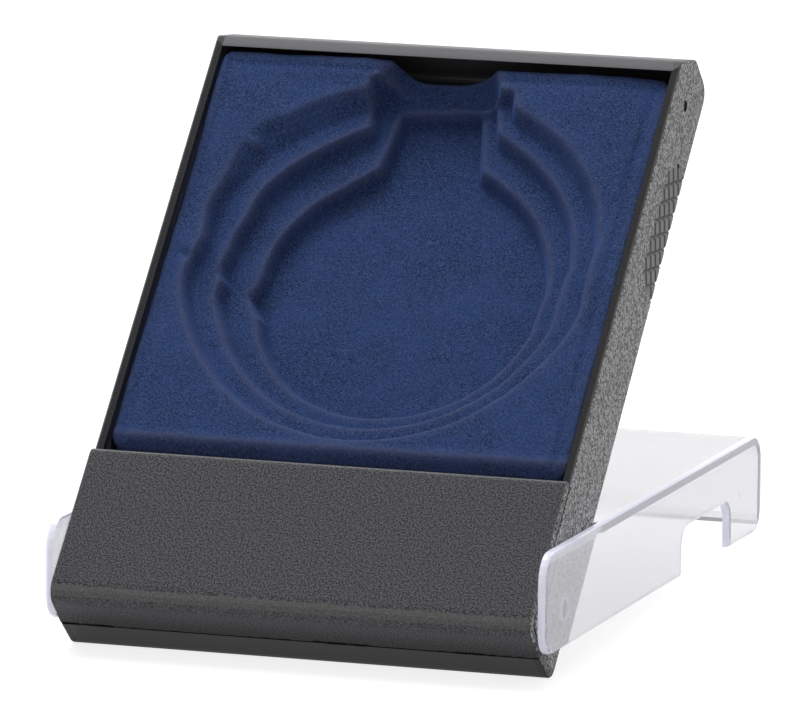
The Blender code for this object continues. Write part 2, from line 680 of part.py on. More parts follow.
fold = fold_angle()
case_side = case_outline() + plate_outline()
lid_side = [in_case_frame(point, fold) for point in lid_outline()]
lean = resting_lean(case_side, lid_side)
standing = leaned(case_side + lid_side, lean)
front = min(back for back, _ in standing)
rear = max(back for back, _ in standing)
floor = min(up for _, up in standing)

case_frame = bpy.data.objects.new("case_frame", None)
case_frame.location = (0, -(front + rear) / 2, -floor)
case_frame.rotation_euler = (lean, 0, 0)
parts.objects.link(case_frame)
lid_hinge = bpy.data.objects.new("lid_hinge", None)
lid_hinge.location = (0, -HINGE_LOW, -HINGE_DEPTH)
lid_hinge.rotation_euler = (-fold, 0, 0)
lid_hinge.parent = case_frame
parts.objects.link(lid_hinge)
for piece in (shell, plate, insert):
    piece.parent = case_frame
lid.parent = lid_hinge

for piece in (shell, plate, insert, lid):
    piece.data.shade_smooth()
    piece.data.set_sharp_from_angle(angle=math.radians(35))

bpy.context.view_layer.update()
print("fold", round(math.degrees(fold), 2), "lean", round(math.degrees(lean), 2))
print("hinge", [round(v, 5) for v in lid_hinge.matrix_world.translation])
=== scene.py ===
"""The medal case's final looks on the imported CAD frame: flocked insert, black styrene and clear lid."""

import json
import math

import bmesh
import bpy
import numpy as np
from mathutils import Matrix, Vector


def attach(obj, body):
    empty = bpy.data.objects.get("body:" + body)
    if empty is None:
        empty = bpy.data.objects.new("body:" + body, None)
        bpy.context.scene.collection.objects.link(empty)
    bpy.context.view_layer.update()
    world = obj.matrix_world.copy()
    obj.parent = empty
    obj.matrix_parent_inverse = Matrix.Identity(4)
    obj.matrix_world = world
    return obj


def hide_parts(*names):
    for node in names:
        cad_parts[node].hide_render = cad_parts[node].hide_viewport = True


MM = 0.001

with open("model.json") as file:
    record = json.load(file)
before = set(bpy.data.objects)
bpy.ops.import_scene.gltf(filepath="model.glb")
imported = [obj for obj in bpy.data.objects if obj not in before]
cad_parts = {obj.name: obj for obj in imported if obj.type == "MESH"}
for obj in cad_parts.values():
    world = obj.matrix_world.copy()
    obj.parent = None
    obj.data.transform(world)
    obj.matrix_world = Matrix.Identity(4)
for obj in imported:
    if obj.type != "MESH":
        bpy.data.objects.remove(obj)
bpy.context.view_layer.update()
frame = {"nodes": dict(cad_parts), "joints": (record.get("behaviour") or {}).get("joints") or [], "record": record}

# The case's own frame: +X right, +Y up its open face and +Z out of it, from the middle of the recess on the
# rim plane.
HINGE_BELOW_MIDDLE = 60.6 * MM
HINGE_BEHIND_RIM = 9.0 * MM
lid_joint = next(joint for joint in frame["joints"] if joint["name"] == "lid_hinge")
plate_mount = next(mount for mount in frame["record"]["mounts"] if mount["name"] == "plate_face")
HINGE = Vector(lid_joint["pos_m"])
LEAN = math.atan2(-plate_mount["axis"][1], plate_mount["axis"][2])
FOLD = math.radians(360 - lid_joint["range_deg"][1])
CASE = (
    Matrix.Translation(HINGE)
    @ Matrix.Rotation(LEAN, 4, "X")
    @ Matrix.Translation((0, HINGE_BELOW_MIDDLE, HINGE_BEHIND_RIM))
)


def linear(colour):
    """Scene-linear RGBA from an sRGB hex colour."""
    channels = [int(colour[i : i + 2], 16) / 255 for i in (1, 3, 5)]
    return [c / 12.92 if c <= 0.04045 else ((c + 0.055) / 1.055) ** 2.4 for c in channels] + [1.0]


def add(tree, kind, inputs=(), **settings):
    """Adds a shader node. Each input, by number or name, is a constant, a socket or a node whose first live
    output is linked."""
    node = tree.nodes.new("ShaderNode" + kind)
    for name, value in settings.items():
        setattr(node, name, value)
    for name, value in inputs.items() if isinstance(inputs, dict) else enumerate(inputs):
        if isinstance(value, bpy.types.Node):
            value = next(socket for socket in value.outputs if socket.enabled)
        if isinstance(value, bpy.types.NodeSocket):
            tree.links.new(value, node.inputs[name])
        else:
            node.inputs[name].default_value = value
    return node


def new_material(name):
    material = bpy.data.materials.new(name)
    material.use_nodes = True
    material.node_tree.nodes.clear()
    return material, material.node_tree


# Settings of a Map Range node that takes a value from low to high and eases it to 0 to 1.
EASED = {"interpolation_type": "SMOOTHSTEP"}


def moulding_place(tree, origin, turn):
    """Object coordinates turned into the frame that a piece was moulded in."""
    place = add(tree, "TexCoord").outputs["Object"]
    return add(tree, "Mapping", (place, origin, (turn, 0, 0)), vector_type="TEXTURE")


def painted(tree, base, *layers):
    """The base colour with others over it. A layer is a mask, how much it covers at most, and its colour."""
    for mask, cover, colour in layers:
        share = add(tree, "Math", (mask, cover), operation="MULTIPLY")
        base = add(tree, "Mix", {0: share, 6: base, 7: linear(colour)}, data_type="RGBA")
    return base


def nylon_flock():
    """Short navy nylon fibres on end: matt and a little lighter seen from the side. Raised edges are paler, as
    wear and as a painted highlight.

    A fibre is about 0.02 mm thick, too fine to show, so the fibres are drawn as clumps of 0.26 mm."""
    material, tree = new_material("nylon_flock")
    place = add(tree, "TexCoord").outputs["Object"]
    clump_scale = {"Vector": place, "Scale": 1 / (0.26 * MM), "Detail": 2.0, "Roughness": 0.6}
    clump = add(tree, "TexNoise", clump_scale)
    speck = add(tree, "TexNoise", {"Vector": place, "Scale": 1 / (0.34 * MM), "Detail": 1.0})
    tuft = add(tree, "TexNoise", {"Vector": place, "Scale": 1 / (0.7 * MM), "Detail": 2.0})
    patch = add(tree, "TexNoise", {"Vector": place, "Scale": 1 / (9 * MM), "Detail": 3.0})
    rim_wear_and_highlight = add(tree, "Attribute", attribute_name="raised_edge").outputs["Fac"]
    # The fibres' tone, with painted light and shade: clumps are lighter where they stand higher and darker between
    # them, since the bump follows the same noise.
    lit = add(tree, "MapRange", (clump, 0.28, 0.72), **EASED)
    fibres = add(tree, "Mix", {0: lit, 6: linear("#151f35"), 7: linear("#42588a")}, data_type="RGBA")
    base = painted(
        tree,
        fibres,
        # Painted glints: pale specks where single fibres catch the light.
        (add(tree, "MapRange", (speck, 0.60, 0.72), **EASED), 0.5, "#666a7c"),
        (add(tree, "MapRange", (tuft, 0.4, 0.65), **EASED), 0.35, "#263762"),
        (add(tree, "MapRange", (patch, 0.35, 0.65), **EASED), 0.25, "#3b5084"),
        # Wear and painted highlight: raised edges and the lower edge's roll are painted paler.
        (rim_wear_and_highlight, 0.35, "#565a76"),
    )
    height = add(tree, "Math", (tuft, 0.6, clump), operation="MULTIPLY_ADD")
    shader = add(tree, "BsdfPrincipled", {
        "Base Color": base,
        "Roughness": 1.0,
        "Specular IOR Level": 0.1,
        "Sheen Weight": 0.5,
        "Sheen Roughness": 0.35,
        "Sheen Tint": linear("#5a7ed0"),
        "Normal": add(tree, "Bump", {"Height": height, "Strength": 1.0, "Distance": 0.06 * MM}),
    })
    add(tree, "OutputMaterial", {"Surface": shader})
    return material


# Lengths on the case in mm, as on its CAD nodes: beside or above the recess's middle, or behind the rim.
CASE_SIDE, CASE_INSIDE, WALL_BLEND = 41.5, 40.3, 0.3
LOW_END, SEAM_DEPTH = 72.0, 6.9
GRIP_LOW, GRIP_LOW_CORNER, GRIP_HIGH_CORNER, GRIP_HIGH = 5.8, 7.3, 27.2, 31.5
GRIP_FRONT, GRIP_LOW_CUT, GRIP_HIGH_CUT, GRIP_BLEND = 7.0, 1.3, 4.5, 0.2
# The top bar's face is rounded off: where the rounding starts above and beside the middle of the recess, its
# slope there and how much that grows per mm.
BAR_START, BAR_MITRE, BAR_SLOPE, BAR_CURVE = 42.9, 40.3, 0.28, 0.04
# Distance between the leather's creases and how far they are pressed in.
LEATHER_PERIOD, LEATHER_RELIEF = 0.95, 0.16
OUT_OF_FACE = CASE.to_3x3() @ Vector((0, 0, 1))


def outside_grip(tree, up, back):
    """0 on the smooth lands of the side grip and 1 outside them. Lengths in metres."""
    high_slope = (GRIP_HIGH - GRIP_HIGH_CORNER) / GRIP_HIGH_CUT
    low_slope = (GRIP_LOW_CORNER - GRIP_LOW) / GRIP_LOW_CUT
    inside = past_front = add(tree, "Math", (back, GRIP_FRONT * MM), operation="SUBTRACT")
    high_cut = add(tree, "Math", (past_front, high_slope, GRIP_HIGH_CORNER * MM), operation="MULTIPLY_ADD")
    low_cut = add(tree, "Math", (past_front, low_slope, -GRIP_LOW_CORNER * MM), operation="MULTIPLY_ADD")
    for distance in (
        add(tree, "Math", (up, GRIP_LOW * MM), operation="SUBTRACT"),
        add(tree, "Math", (GRIP_HIGH * MM, up), operation="SUBTRACT"),
        add(tree, "Math", (high_cut, up), operation="SUBTRACT"),
        add(tree, "Math", (low_cut, up), operation="ADD"),
    ):
        inside = add(tree, "Math", (inside, distance), operation="MINIMUM")
    on_lands = add(tree, "MapRange", (inside, -GRIP_BLEND * MM, GRIP_BLEND * MM), **EASED)
    return add(tree, "Math", (1.0, on_lands), operation="SUBTRACT")


def past_bar_start(tree, away, up, facing_out):
    """How far a point of the top bar's face lies inside the start of its rounding, in mm, and 0 elsewhere."""
    above = add(tree, "Math", (up, BAR_START * MM), operation="SUBTRACT")
    above = add(tree, "Math", (above, 1 / MM), operation="MULTIPLY")
    past_mitre = add(tree, "Math", (away, BAR_MITRE * MM), operation="SUBTRACT")
    past_mitre = add(tree, "Math", (past_mitre, 1 / MM), operation="MULTIPLY")
    inside = add(tree, "Math", (above, past_mitre), operation="SUBTRACT")
    inside = add(tree, "Math", (above, inside), operation="MINIMUM")
    inside = add(tree, "Math", (inside, 0.0), operation="MAXIMUM")
    on_face = add(tree, "MapRange", (facing_out, 0.8, 0.95), **EASED)
    return add(tree, "Math", (inside, on_face), operation="MULTIPLY")


def lower_end_shade(tree, place, up, back):
    """How much light the lower end loses: more towards the table, and most in the seam and its burrs.
    The seam is 0.3 mm wide, and up to 1.8 mm where a burr is."""
    down = add(tree, "Math", (up, -1.0), operation="MULTIPLY")
    low_end = add(tree, "MapRange", (down, (LOW_END - 3.0) * MM, (LOW_END - 2.0) * MM), **EASED)
    under = add(tree, "MapRange", (back, 1.0 * MM, SEAM_DEPTH * MM), **EASED)
    under = add(tree, "Math", (low_end, under), operation="MULTIPLY")
    under = add(tree, "Math", (under, 0.35), operation="MULTIPLY")
    burr = add(tree, "TexNoise", {"Vector": place, "Scale": 1 / (5 * MM), "Detail": 4.0, "Roughness": 0.7})
    burr = add(tree, "MapRange", (burr, 0.44, 0.58), **EASED)
    half_width = add(tree, "Math", (burr, 0.75 * MM, 0.15 * MM), operation="MULTIPLY_ADD")
    from_seam = add(tree, "Math", (back, SEAM_DEPTH * MM), operation="SUBTRACT")
    from_seam = add(tree, "Math", (from_seam,), operation="ABSOLUTE")
    beside_seam = add(tree, "MapRange", (from_seam, 0.0, half_width), **EASED)
    seam = add(tree, "Math", (1.0, beside_seam), operation="SUBTRACT")
    seam = add(tree, "Math", (seam, low_end), operation="MULTIPLY")
    return add(tree, "Math", (seam, under), operation="MAXIMUM")


def black_styrene(name, colours, period, relief, roughness, inner_wall_painted_light):
    """Black styrene moulded in a textured tool: leather grain on the outer sides, with ridges painted pale as a
    painted reflection, and a finer grain elsewhere, of this period and relief in mm. Edges are paler, as wear
    from handling and as a painted highlight, and inner walls are painted paler, as painted light."""
    material, tree = new_material(name)
    place = moulding_place(tree, CASE.translation, LEAN)
    x, up, out = add(tree, "SeparateXYZ", (place,)).outputs
    away = add(tree, "Math", (x,), operation="ABSOLUTE")
    back = add(tree, "Math", (out, -1.0), operation="MULTIPLY")
    normal = add(tree, "TexCoord").outputs["Normal"]
    sideways = add(tree, "Math", (add(tree, "SeparateXYZ", (normal,)).outputs["X"],), operation="ABSOLUTE")
    facing_side = add(tree, "MapRange", (sideways, 0.6, 0.9), **EASED)
    outside = add(tree, "MapRange", (away, (CASE_SIDE - WALL_BLEND) * MM, CASE_SIDE * MM), **EASED)
    side = add(tree, "Math", (facing_side, outside), operation="MULTIPLY")
    leathered = add(tree, "Math", (side, outside_grip(tree, up, back)), operation="MULTIPLY")
    leather_scale = {"Vector": place, "Scale": 1 / (LEATHER_PERIOD * MM), "Detail": 1.0, "Distortion": 0.5}
    crease = add(tree, "Math", (add(tree, "TexNoise", leather_scale), 0.5), operation="SUBTRACT")
    crease = add(tree, "Math", (crease,), operation="ABSOLUTE")
    ridge = add(tree, "MapRange", (crease, 0.012, 0.10), **EASED)
    grain_scale = {"Vector": place, "Scale": 1 / (period * MM), "Detail": 2.0, "Roughness": 0.6}
    grain = add(tree, "TexNoise", grain_scale)
    facing_out = add(tree, "VectorMath", (normal, OUT_OF_FACE), operation="DOT_PRODUCT").outputs["Value"]
    # Wear and painted highlight: faces turned part way from the front, as on rounded edges and bends, are painted
    # paler.
    edge_wear_and_highlight = add(tree, "Math", (
        add(tree, "MapRange", (facing_out, 0.55, 0.8), **EASED),
        add(tree, "MapRange", (facing_out, 0.93, 0.995), **EASED),
    ), operation="SUBTRACT")

    over_bar = past_bar_start(tree, away, up, facing_out)
    bar_slope = add(tree, "Math", (over_bar, -BAR_CURVE, -BAR_SLOPE), operation="MULTIPLY_ADD")
    height = add(tree, "Math", (grain, relief), operation="MULTIPLY")
    height = add(tree, "Math", (over_bar, bar_slope, height), operation="MULTIPLY_ADD")
    raised = add(tree, "Math", (ridge, leathered), operation="MULTIPLY")
    height = add(tree, "Math", (raised, LEATHER_RELIEF, height), operation="MULTIPLY_ADD")

    # Painted light: the inner walls behind the rim are painted paler, where little light reaches them.
    behind_rim = add(tree, "MapRange", (back, 0.8 * MM, 2.0 * MM), **EASED)
    in_wall = add(tree, "MapRange", (away, CASE_INSIDE * MM, (CASE_INSIDE + WALL_BLEND) * MM), **EASED)
    inner = add(tree, "Math", (1.0, in_wall), operation="SUBTRACT")
    inner = add(tree, "Math", (behind_rim, inner), operation="MULTIPLY")
    dark, pale = (linear(colour) for colour in colours)
    # The grain's tone, with painted shade and light: darker in its hollows and paler on its tops, since the bump
    # follows the same noise.
    grained = add(tree, "MapRange", (grain, 0.38, 0.62), **EASED)
    base = add(tree, "Mix", {0: grained, 6: dark, 7: pale}, data_type="RGBA")
    base = painted(
        tree,
        base,
        (inner, inner_wall_painted_light, "#5a585c"),
        (edge_wear_and_highlight, 0.45, "#74736f"),
        # Painted reflection: the rounded top bar is painted a paler lavender grey.
        (add(tree, "MapRange", (over_bar, 0.0, 0.4), **EASED), 0.6, "#3a3844"),
        # Painted reflection: the outer sides of the black styrene are painted mid grey, for the room mirrored in
        # them.
        (side, 1.0, "#6c6c70"),  # shows on the grip alone, as the leather covers the rest of the side
    )
    # Painted reflection: the leather's ridges are painted pale grey on near black, for the room mirrored in them.
    leather = add(tree, "Mix", {0: ridge, 6: linear("#030304"), 7: linear("#b4b4b8")}, data_type="RGBA")
    plastic = add(tree, "BsdfPrincipled", {
        "Base Color": add(tree, "Mix", {0: leathered, 6: base, 7: leather}, data_type="RGBA"),
        "Roughness": roughness,
        "Normal": add(tree, "Bump", {"Height": height, "Strength": 1.0, "Distance": MM}),
    })
    crevice = add(tree, "BsdfDiffuse", {"Color": linear("#0a0a08")})
    shader = add(tree, "MixShader", (lower_end_shade(tree, place, up, back), plastic, crevice))
    add(tree, "OutputMaterial", {"Surface": shader})
    return material


# Lengths on the lid in mm: beside its middle, out of its panel and along it, both from the hinge.
LID_SIDE, PANEL_RIM, END_RIM = 42.3, 8.8, 111.4
PIN_RADIUS = 2.4


def clear_styrene():
    """Clear styrene, moulded and polished, with the walls hazed by handling. Its thick edges and its pins gather
    light, look paler and glow with painted light, which the rest of the lid has faintly; its shadow lets most
    of the light through."""
    material, tree = new_material("clear_styrene")
    place = moulding_place(tree, HINGE, LEAN - FOLD)
    x, along, out = add(tree, "SeparateXYZ", (place,)).outputs
    away = add(tree, "Math", (x,), operation="ABSOLUTE")
    wall = add(tree, "MapRange", (away, (LID_SIDE - WALL_BLEND) * MM, LID_SIDE * MM), **EASED)
    off_wall = add(tree, "Math", (1.0, wall), operation="SUBTRACT")
    normal = add(tree, "TexCoord").outputs["Normal"]
    sideways = add(tree, "Math", (add(tree, "SeparateXYZ", (normal,)).outputs["X"],), operation="ABSOLUTE")
    on_face = add(tree, "MapRange", (sideways, 0.55, 0.95), **EASED)
    off_face = add(tree, "Math", (1.0, on_face), operation="SUBTRACT")
    edge = add(tree, "Math", (wall, off_face), operation="MULTIPLY")
    beside_panel = add(tree, "MapRange", (out, PANEL_RIM * MM, (PANEL_RIM + 0.8) * MM), **EASED)
    beside_panel = add(tree, "Math", (wall, beside_panel), operation="MULTIPLY")
    beside_end = add(tree, "MapRange", (along, END_RIM * MM, (END_RIM + 0.6) * MM), **EASED)
    beside_end = add(tree, "Math", (wall, beside_end), operation="MULTIPLY")
    rim = add(tree, "Math", (beside_panel, beside_end), operation="MAXIMUM")
    rim = add(tree, "Math", (rim, 0.32), operation="MULTIPLY")
    from_hinge = add(tree, "CombineXYZ", {"Y": along, "Z": out})
    from_hinge = add(tree, "VectorMath", (from_hinge,), operation="LENGTH").outputs["Value"]
    off_pin = add(tree, "MapRange", (from_hinge, PIN_RADIUS * MM, (PIN_RADIUS + 0.4) * MM), **EASED)
    pin = add(tree, "Math", (1.0, off_pin), operation="SUBTRACT")
    pin = add(tree, "Math", (pin, off_wall), operation="MULTIPLY")
    pin = add(tree, "Math", (pin, 0.45), operation="MULTIPLY")
    thick = add(tree, "Math", (edge, rim), operation="MAXIMUM")
    thick = add(tree, "Math", (thick, pin), operation="MAXIMUM")

    haze = add(tree, "TexNoise", {"Vector": place, "Scale": 1 / (14 * MM), "Detail": 3.0})
    clear = add(tree, "Math", (wall, -0.12, 0.93), operation="MULTIPLY_ADD")
    # Painted light: the whole lid glows faintly, its walls a little more, and its thick edges and pins most.
    glow = add(tree, "Math", (wall, 0.04, 0.01), operation="MULTIPLY_ADD")
    tint = add(tree, "Mix", {0: thick, 6: linear("#efeff1"), 7: linear("#e6e6f2")}, data_type="RGBA")
    styrene = add(tree, "BsdfPrincipled", {
        "Base Color": tint,
        "Roughness": add(tree, "Math", (haze, 0.06, 0.02), operation="MULTIPLY_ADD"),
        "IOR": 1.57,
        "Transmission Weight": add(tree, "Math", (thick, -0.60, clear), operation="MULTIPLY_ADD"),
        "Emission Color": linear("#dcdcf0"),
        "Emission Strength": add(tree, "Math", (thick, 0.28, glow), operation="MULTIPLY_ADD"),
    })
    in_shadow = add(tree, "LightPath").outputs["Is Shadow Ray"]
    shadow = add(tree, "BsdfTransparent", {"Color": linear("#f2f2f6")})
    add(tree, "OutputMaterial", {"Surface": add(tree, "MixShader", (in_shadow, styrene, shadow))})
    return material


# The insert, in mm in the case's own frame. Each point of a ring has its direction in degrees, and how far
# the ring's upper edge and its foot lie from the middle there.
RINGS = (
    ((0, 34.6, 33.5), (6, 34.6, 33.5), (12, 35.6, 34.0), (20, 36.2, 34.2), (30, 36.8, 34.4),
     (45, 37.0, 34.7), (60, 37.3, 35.1), (68, 37.4, 35.6), (90, 38.0, 36.5), (106, 39.2, 36.8),
     (115, 39.8, 36.4), (122, 39.7, 36.2), (130, 39.9, 36.3), (137, 41.8, 36.5), (143, 40.4, 36.5),
     (150, 38.9, 36.4), (157, 37.6, 36.0), (163, 36.8, 35.4), (168, 35.9, 34.7), (173, 35.1, 34.0),
     (177, 35.3, 34.2), (181, 36.2, 34.9), (186, 36.4, 35.1), (193, 36.2, 35.0), (200, 35.7, 34.6),
     (207, 35.3, 34.0), (220, 35.1, 33.6), (270, 35.2, 33.6), (330, 35.3, 33.7), (345, 35.5, 33.8),
     (352, 35.4, 33.8), (356, 34.9, 33.6)),
    ((0, 29.3, 28.3), (5, 29.3, 28.3), (10, 30.2, 29.0), (20, 30.8, 29.6), (30, 31.1, 29.9),
     (45, 31.7, 30.4), (60, 32.4, 31.0), (68, 33.1, 31.5), (90, 33.5, 32.5), (108, 33.2, 32.6),
     (115, 32.8, 32.3), (130, 32.5, 32.1), (150, 32.2, 31.8), (160, 31.7, 31.3), (166, 31.1, 30.6),
     (172, 30.7, 30.0), (178, 31.4, 30.6), (184, 30.6, 29.6), (190, 31.3, 30.2), (197, 30.8, 29.6),
     (205, 30.3, 29.0), (240, 30.3, 28.9), (270, 30.4, 28.8), (330, 30.2, 28.8), (345, 30.1, 28.7),
     (350, 29.8, 28.5), (355, 29.2, 28.2)),
    ((0, 25.1, 24.2), (6, 25.5, 24.4), (20, 25.6, 24.5), (30, 25.8, 24.6), (45, 26.1, 24.9),
     (60, 26.4, 25.3), (66, 26.9, 25.8), (90, 27.0, 26.0), (112, 26.3, 25.9), (118, 25.7, 25.4),
     (130, 25.3, 25.1), (150, 25.1, 24.9), (165, 25.0, 24.7), (172, 24.7, 24.3), (176, 24.5, 24.0),
     (181, 25.1, 24.5), (187, 26.2, 25.2), (191, 25.6, 24.7), (196, 24.5, 23.7), (203, 24.8, 23.8),
     (215, 25.1, 24.0), (230, 25.5, 24.2), (245, 25.7, 24.3), (270, 25.8, 24.3), (330, 25.8, 24.3),
     (345, 25.6, 24.2), (353, 25.0, 24.0)),
)
# Neck, from the face down: each ring's edge and then its foot. How far it lies left and right of the middle
# at NECK_LEVEL, how much each side widens per mm down the neck, and how far up each side ends.
NECK = (
    (11.6, 13.35, 0.10, 0.24, 42.0, 38.2), (11.0, 12.3, 0.10, 0.24, 38.8, 37.0),
    (12.5, 9.35, -0.14, 0.226, 39.2, 41.0), (12.1, 9.0, -0.14, 0.226, 38.6, 41.0),
    (8.2, 6.1, 0.10, 0.212, 37.0, 38.0), (7.6, 5.2, 0.11, 0.20, 36.2, 37.3),
)
NECK_LEVEL = 37.0
NECK_CORNER, RING_CORNER = 0.7, 1.0
NECK_FOOT = 12.0                # below this the neck's edges don't count
FACE_DEPTH, STEP_DEPTH = 1.4, 3.67
LEFT, RIGHT, LOW, HIGH = -40.2, 40.0, -39.8, 42.55
SHEET_CORNER = 3.0
SHEET_FOOT = 13.1
EDGE_ROLL, LOW_EDGE_ROLL = 0.5, 2.9
LOW_BEAD = 0.3
TOP_RISE = 0.4
TOP_BULGE = 0.6
TROUGH_DEPTH = 5.3
TROUGH_FOOT = 38.3
TROUGH_LEFT, TROUGH_RIGHT = 9.6, 9.1
# A shallow line pressed into the face all round, left, right, low and high.
BORDER = (-38.2, 37.4, -38.9, 40.2)
# Marks of the forming: a pimple and pits at X, Y with how deep they go and their radius, and a crease along
# the right border as points Y, X. GRID is the mesh's spacing.
MARKS = ((-30.3, 24.6, -0.9, 1.2), (-36.7, 0.4, 0.7, 0.9), (-30.6, -0.5, 0.9, 0.9), (-25.7, -2.6, 0.9, 0.9))
CREASE = ((6.1, 34.1), (17.4, 36.2), (28.8, 36.9), (30.5, 37.5), (38.4, 36.1))
CREASE_DEPTH = 0.22
GRID = 0.32


def eased(value, low, high):
    """0 below low and 1 above high, with a smooth change between them."""
    share = np.clip((value - low) / (high - low), 0, 1)
    return share * share * (3 - 2 * share)


def blurred(field, radius):
    """The field smoothed by a bell curve, radius in grid steps."""
    reach = int(3 * radius) + 1
    bell = np.exp(-0.5 * (np.arange(-reach, reach + 1) / radius) ** 2)
    bell /= bell.sum()
    for axis in (0, 1):
        padded = np.pad(field, [(reach, reach) if a == axis else (0, 0) for a in (0, 1)], mode="edge")
        field = np.apply_along_axis(np.convolve, axis, padded, bell, mode="valid")
    return field


def waves(random, shape, size):
    """Smooth random waves of this size in mm, about 1 high."""
    field = blurred(random.normal(size=shape), size / GRID)
    return field / field.std()


def smooth_least(a, b, radius):
    """The lesser of two distances, with the corner between them rounded."""
    share = np.clip(1 - abs(a - b) / radius, 0, 1)
    return np.minimum(a, b) - share * share * radius / 4


def roll(distance, radius):
    """How far a rounded edge has dropped at this distance from its end."""
    over = np.clip(1 - distance / radius, 0, 1)
    return radius * (1 - np.sqrt(1 - over * over))


def neck_inside(x, y, edge):
    """How far each point lies inside this edge of the neck."""
    left, right, left_flare, right_flare, left_top, right_top = edge
    down = NECK_LEVEL - y
    inside = np.minimum(x + left + left_flare * down, right + right_flare * down - x)
    top = left_top + (right_top - left_top) * np.clip((x + 8) / 16, 0, 1)
    inside = smooth_least(inside, top - y, NECK_CORNER)
    return np.where(y > NECK_FOOT, inside, -9.0)


def insert_depths(x, y, random):
    """Depth behind the rim, in mm, of the formed sheet at each point."""
    angle = np.degrees(np.arctan2(y, x)) % 360
    reach = np.hypot(x, y)
    soft_side = eased(angle, 95, 115) * (1 - eased(angle, 160, 200))
    wobble = waves(random, x.shape, 2.2) * (0.07 + 0.22 * soft_side)
    depth = np.full(x.shape, FACE_DEPTH)
    for number, ring in enumerate(RINGS):
        degrees, rims, feet = np.array(ring).T
        rim = np.interp(angle, degrees, rims, period=360) + wobble - reach
        foot = np.interp(angle, degrees, feet, period=360) + wobble * 0.5 - reach
        rim = -smooth_least(-rim, -neck_inside(x, y, NECK[number * 2]), RING_CORNER)
        foot = -smooth_least(-foot, -neck_inside(x, y, NECK[number * 2 + 1]), RING_CORNER)
        share = np.clip(rim / np.maximum(rim - foot, 0.05), 0, 1)
        depth += STEP_DEPTH * np.where(foot > 0, 1, share)
    # The trough for a fingertip across the neck's mouth: a curved hollow that gets deeper down to the middle
    # ring's shelf, rounder on the right than on the left.
    down = np.clip((HIGH - y) / (HIGH - TROUGH_FOOT), 0, 1.2)
    half_width = np.where(x > 0, TROUGH_RIGHT, TROUGH_LEFT) + 0.35 * np.maximum(HIGH - y, 0)
    middle = TROUGH_DEPTH + (2 * STEP_DEPTH - TROUGH_DEPTH) * down
    power = np.where(x > 0, 2.2 + 5 * down, 4.5)
    trough = middle * np.clip(1 - (abs(x) / half_width) ** power, 0, 1)
    trough *= eased(y, TROUGH_FOOT - 1, TROUGH_FOOT)
    depth = -smooth_least(-depth, -FACE_DEPTH - trough, 0.4)
    for mark_x, mark_y, drop, radius in MARKS:
        depth += drop * np.exp(-((x - mark_x) ** 2 + (y - mark_y) ** 2) / radius**2)
    along, across = np.array(CREASE).T
    crease = np.exp(-(((x - np.interp(y, along, across)) / 0.55) ** 2)) * eased(y, 5, 8)
    crease *= 1 - eased(y, 36, 39)
    return depth + CREASE_DEPTH * crease


